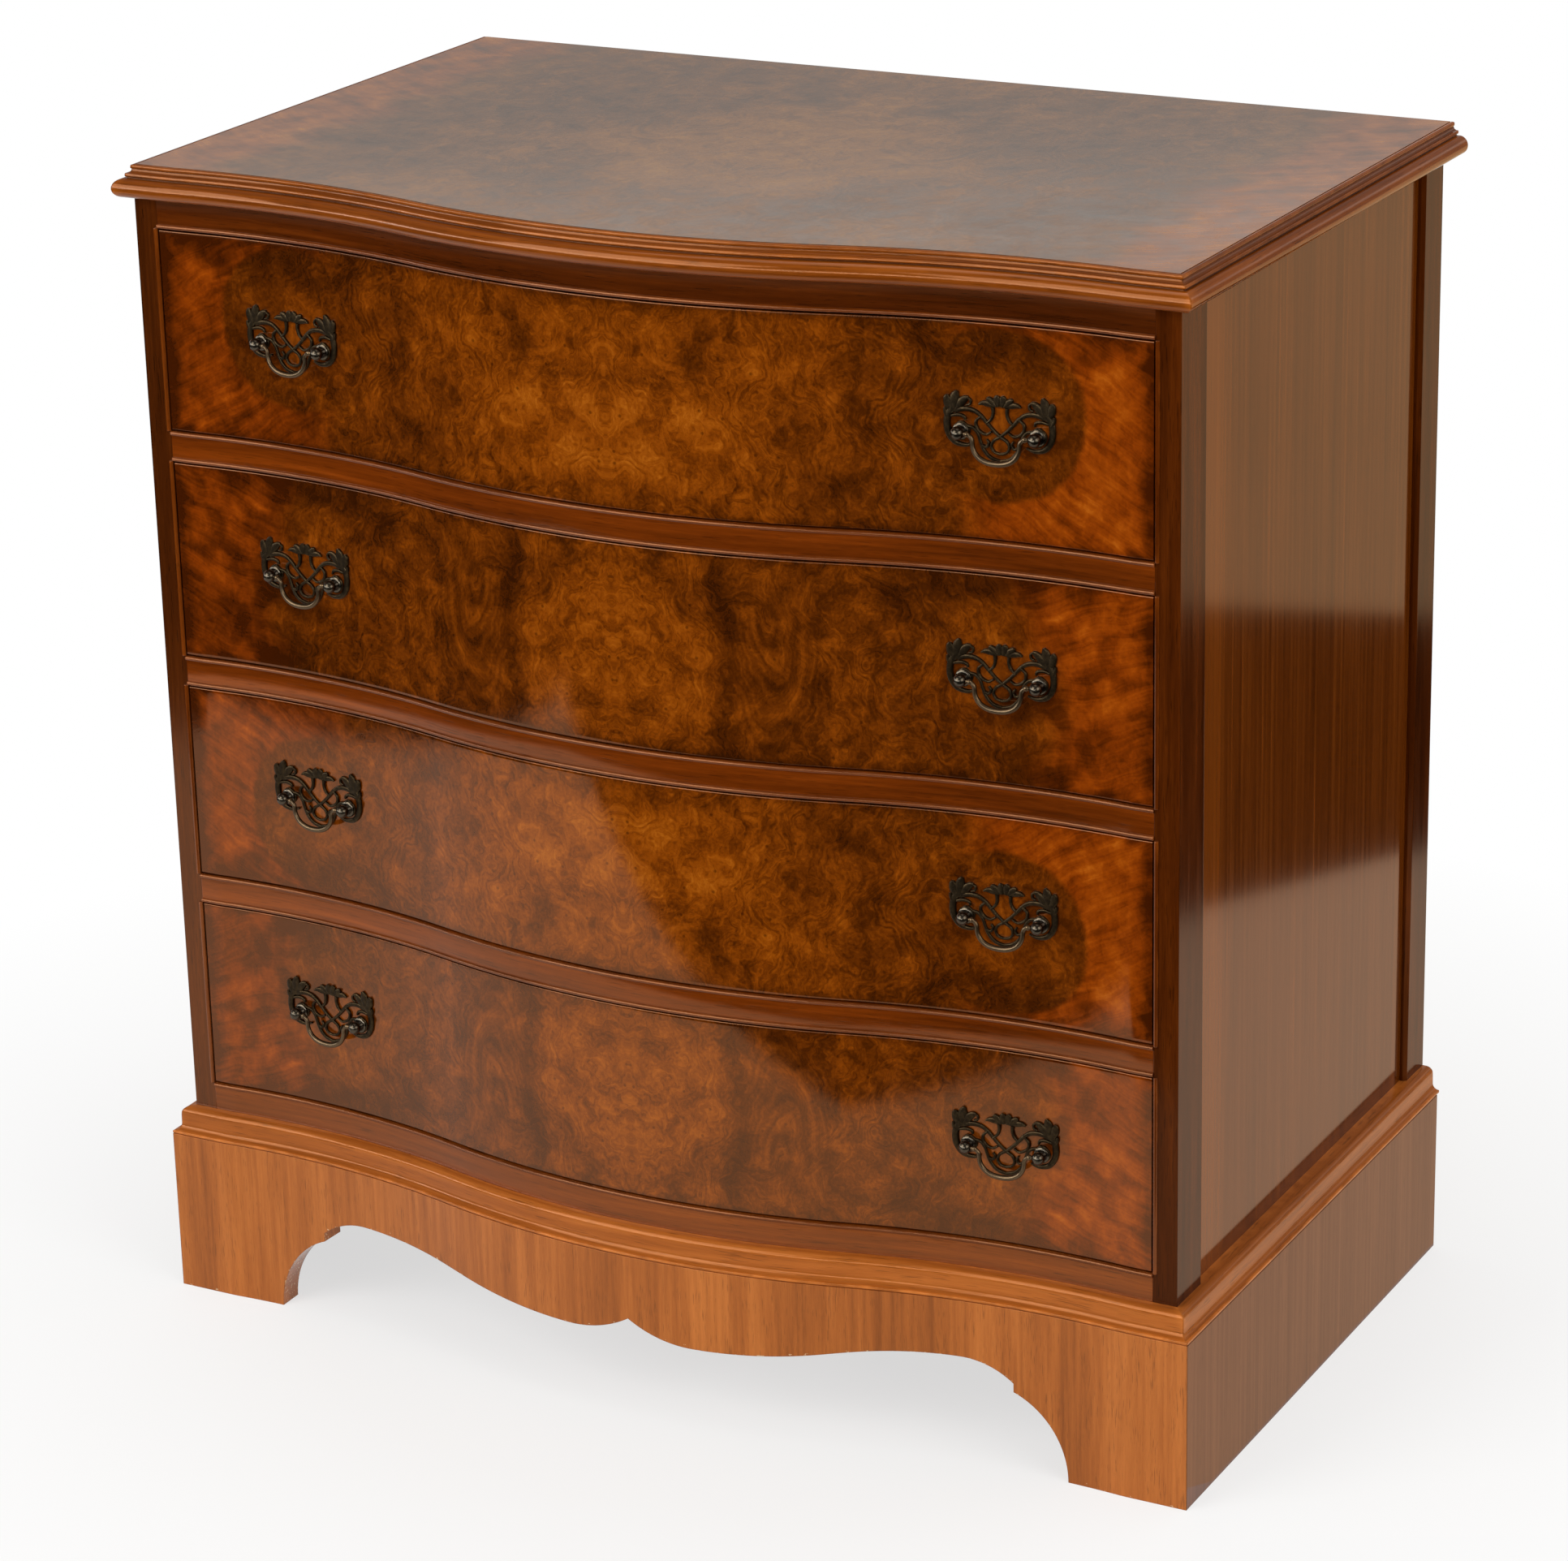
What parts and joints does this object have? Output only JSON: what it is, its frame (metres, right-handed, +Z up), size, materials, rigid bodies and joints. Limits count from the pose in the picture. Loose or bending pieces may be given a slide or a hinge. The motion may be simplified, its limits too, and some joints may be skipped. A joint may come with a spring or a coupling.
{
  "type": "serpentine chest of drawers",
  "caption": "Bow-and-hollow fronted wooden chest of sliding drawers with pierced swan-neck handles, moulded top and base, on shaped bracket feet.",
  "frame": {"origin": "middle of the overall box at floor level", "axes": "+X to the right as seen from the front, +Y from front to back, +Z up"},
  "size_m": [0.758, 0.4834, 0.79],
  "materials": {
    "burr_walnut": "polished figured veneer",
    "top_veneer": "polished figured veneer",
    "dark_walnut": "polished straight grain",
    "panel_walnut": "polished straight grain",
    "moulding_walnut": "polished cross grain",
    "plinth_walnut": "polished veneer",
    "drawer_lining": "bare planed oak",
    "softwood": "bare sawn pine",
    "aged_brass": "dark patina",
    "worn_brass": "rubbed bright by use"
  },
  "bodies": {
    "carcase": {"left_front_stile": "dark_walnut", "right_front_stile": "dark_walnut", "left_rear_stile": "dark_walnut", "right_rear_stile": "dark_walnut", "top_rail": "dark_walnut", "drawer_rail_1": "dark_walnut", "drawer_rail_2": "dark_walnut", "drawer_rail_3": "dark_walnut", "bottom_rail": "dark_walnut", "drawer_beads": "dark_walnut", "left_end_panel": "panel_walnut", "right_end_panel": "panel_walnut", "rear_top_rail": "softwood", "rear_bottom_rail": "softwood", "back_panel": "softwood", "drawer_runners": "softwood", "drawer_guides": "softwood", "drawer_stops": "softwood", "plinth_back_rail": "softwood", "plinth_blocks": "softwood", "top_board": "top_veneer", "top_front_moulding": "moulding_walnut", "top_side_mouldings": "moulding_walnut", "base_front_moulding": "moulding_walnut", "base_side_mouldings": "moulding_walnut", "plinth_front": "plinth_walnut", "plinth_left_side": "plinth_walnut", "plinth_right_side": "plinth_walnut"},
    "drawer_1": {"drawer_1_front": "burr_walnut", "drawer_1_sides": "drawer_lining", "drawer_1_back": "drawer_lining", "drawer_1_bottom": "drawer_lining", "drawer_1_backplates": "aged_brass", "drawer_1_handle_posts": "aged_brass"},
    "drawer_1_left_bail": {"drawer_1_left_bail": "worn_brass"},
    "drawer_1_right_bail": {"drawer_1_right_bail": "worn_brass"},
    "drawer_2": {"drawer_2_front": "burr_walnut", "drawer_2_sides": "drawer_lining", "drawer_2_back": "drawer_lining", "drawer_2_bottom": "drawer_lining", "drawer_2_backplates": "aged_brass", "drawer_2_handle_posts": "aged_brass"},
    "drawer_2_left_bail": {"drawer_2_left_bail": "worn_brass"},
    "drawer_2_right_bail": {"drawer_2_right_bail": "worn_brass"},
    "drawer_3": {"drawer_3_front": "burr_walnut", "drawer_3_sides": "drawer_lining", "drawer_3_back": "drawer_lining", "drawer_3_bottom": "drawer_lining", "drawer_3_backplates": "aged_brass", "drawer_3_handle_posts": "aged_brass"},
    "drawer_3_left_bail": {"drawer_3_left_bail": "worn_brass"},
    "drawer_3_right_bail": {"drawer_3_right_bail": "worn_brass"},
    "drawer_4": {"drawer_4_front": "burr_walnut", "drawer_4_sides": "drawer_lining", "drawer_4_back": "drawer_lining", "drawer_4_bottom": "drawer_lining", "drawer_4_backplates": "aged_brass", "drawer_4_handle_posts": "aged_brass"},
    "drawer_4_left_bail": {"drawer_4_left_bail": "worn_brass"},
    "drawer_4_right_bail": {"drawer_4_right_bail": "worn_brass"}
  },
  "joints": [
    {"name": "drawer_1_slide", "type": "slide", "parent": "carcase", "child": "drawer_1", "axis": [0, -1, 0], "range_m": [0, 0.3]},
    {"name": "drawer_1_left_bail_swing", "type": "hinge", "parent": "drawer_1", "child": "drawer_1_left_bail", "pos_m": [-0.25065, -0.20082, 0.682], "axis": [-0.9971, 0.0761, 0], "range_deg": [0, 90]},
    {"name": "drawer_1_right_bail_swing", "type": "hinge", "parent": "drawer_1", "child": "drawer_1_right_bail", "pos_m": [0.25065, -0.20082, 0.682], "axis": [-0.9971, -0.0761, 0], "range_deg": [0, 90]},
    {"name": "drawer_2_slide", "type": "slide", "parent": "carcase", "child": "drawer_2", "axis": [0, -1, 0], "range_m": [0, 0.3]},
    {"name": "drawer_2_left_bail_swing", "type": "hinge", "parent": "drawer_2", "child": "drawer_2_left_bail", "pos_m": [-0.25065, -0.20082, 0.527], "axis": [-0.9971, 0.0761, 0], "range_deg": [0, 90]},
    {"name": "drawer_2_right_bail_swing", "type": "hinge", "parent": "drawer_2", "child": "drawer_2_right_bail", "pos_m": [0.25065, -0.20082, 0.527], "axis": [-0.9971, -0.0761, 0], "range_deg": [0, 90]},
    {"name": "drawer_3_slide", "type": "slide", "parent": "carcase", "child": "drawer_3", "axis": [0, -1, 0], "range_m": [0, 0.3]},
    {"name": "drawer_3_left_bail_swing", "type": "hinge", "parent": "drawer_3", "child": "drawer_3_left_bail", "pos_m": [-0.25065, -0.20082, 0.3725], "axis": [-0.9971, 0.0761, 0], "range_deg": [0, 90]},
    {"name": "drawer_3_right_bail_swing", "type": "hinge", "parent": "drawer_3", "child": "drawer_3_right_bail", "pos_m": [0.25065, -0.20082, 0.3725], "axis": [-0.9971, -0.0761, 0], "range_deg": [0, 90]},
    {"name": "drawer_4_slide", "type": "slide", "parent": "carcase", "child": "drawer_4", "axis": [0, -1, 0], "range_m": [0, 0.3]},
    {"name": "drawer_4_left_bail_swing", "type": "hinge", "parent": "drawer_4", "child": "drawer_4_left_bail", "pos_m": [-0.25065, -0.20082, 0.21875], "axis": [-0.9971, 0.0761, 0], "range_deg": [0, 90]},
    {"name": "drawer_4_right_bail_swing", "type": "hinge", "parent": "drawer_4", "child": "drawer_4_right_bail", "pos_m": [0.25065, -0.20082, 0.21875], "axis": [-0.9971, -0.0761, 0], "range_deg": [0, 90]}
  ]
}
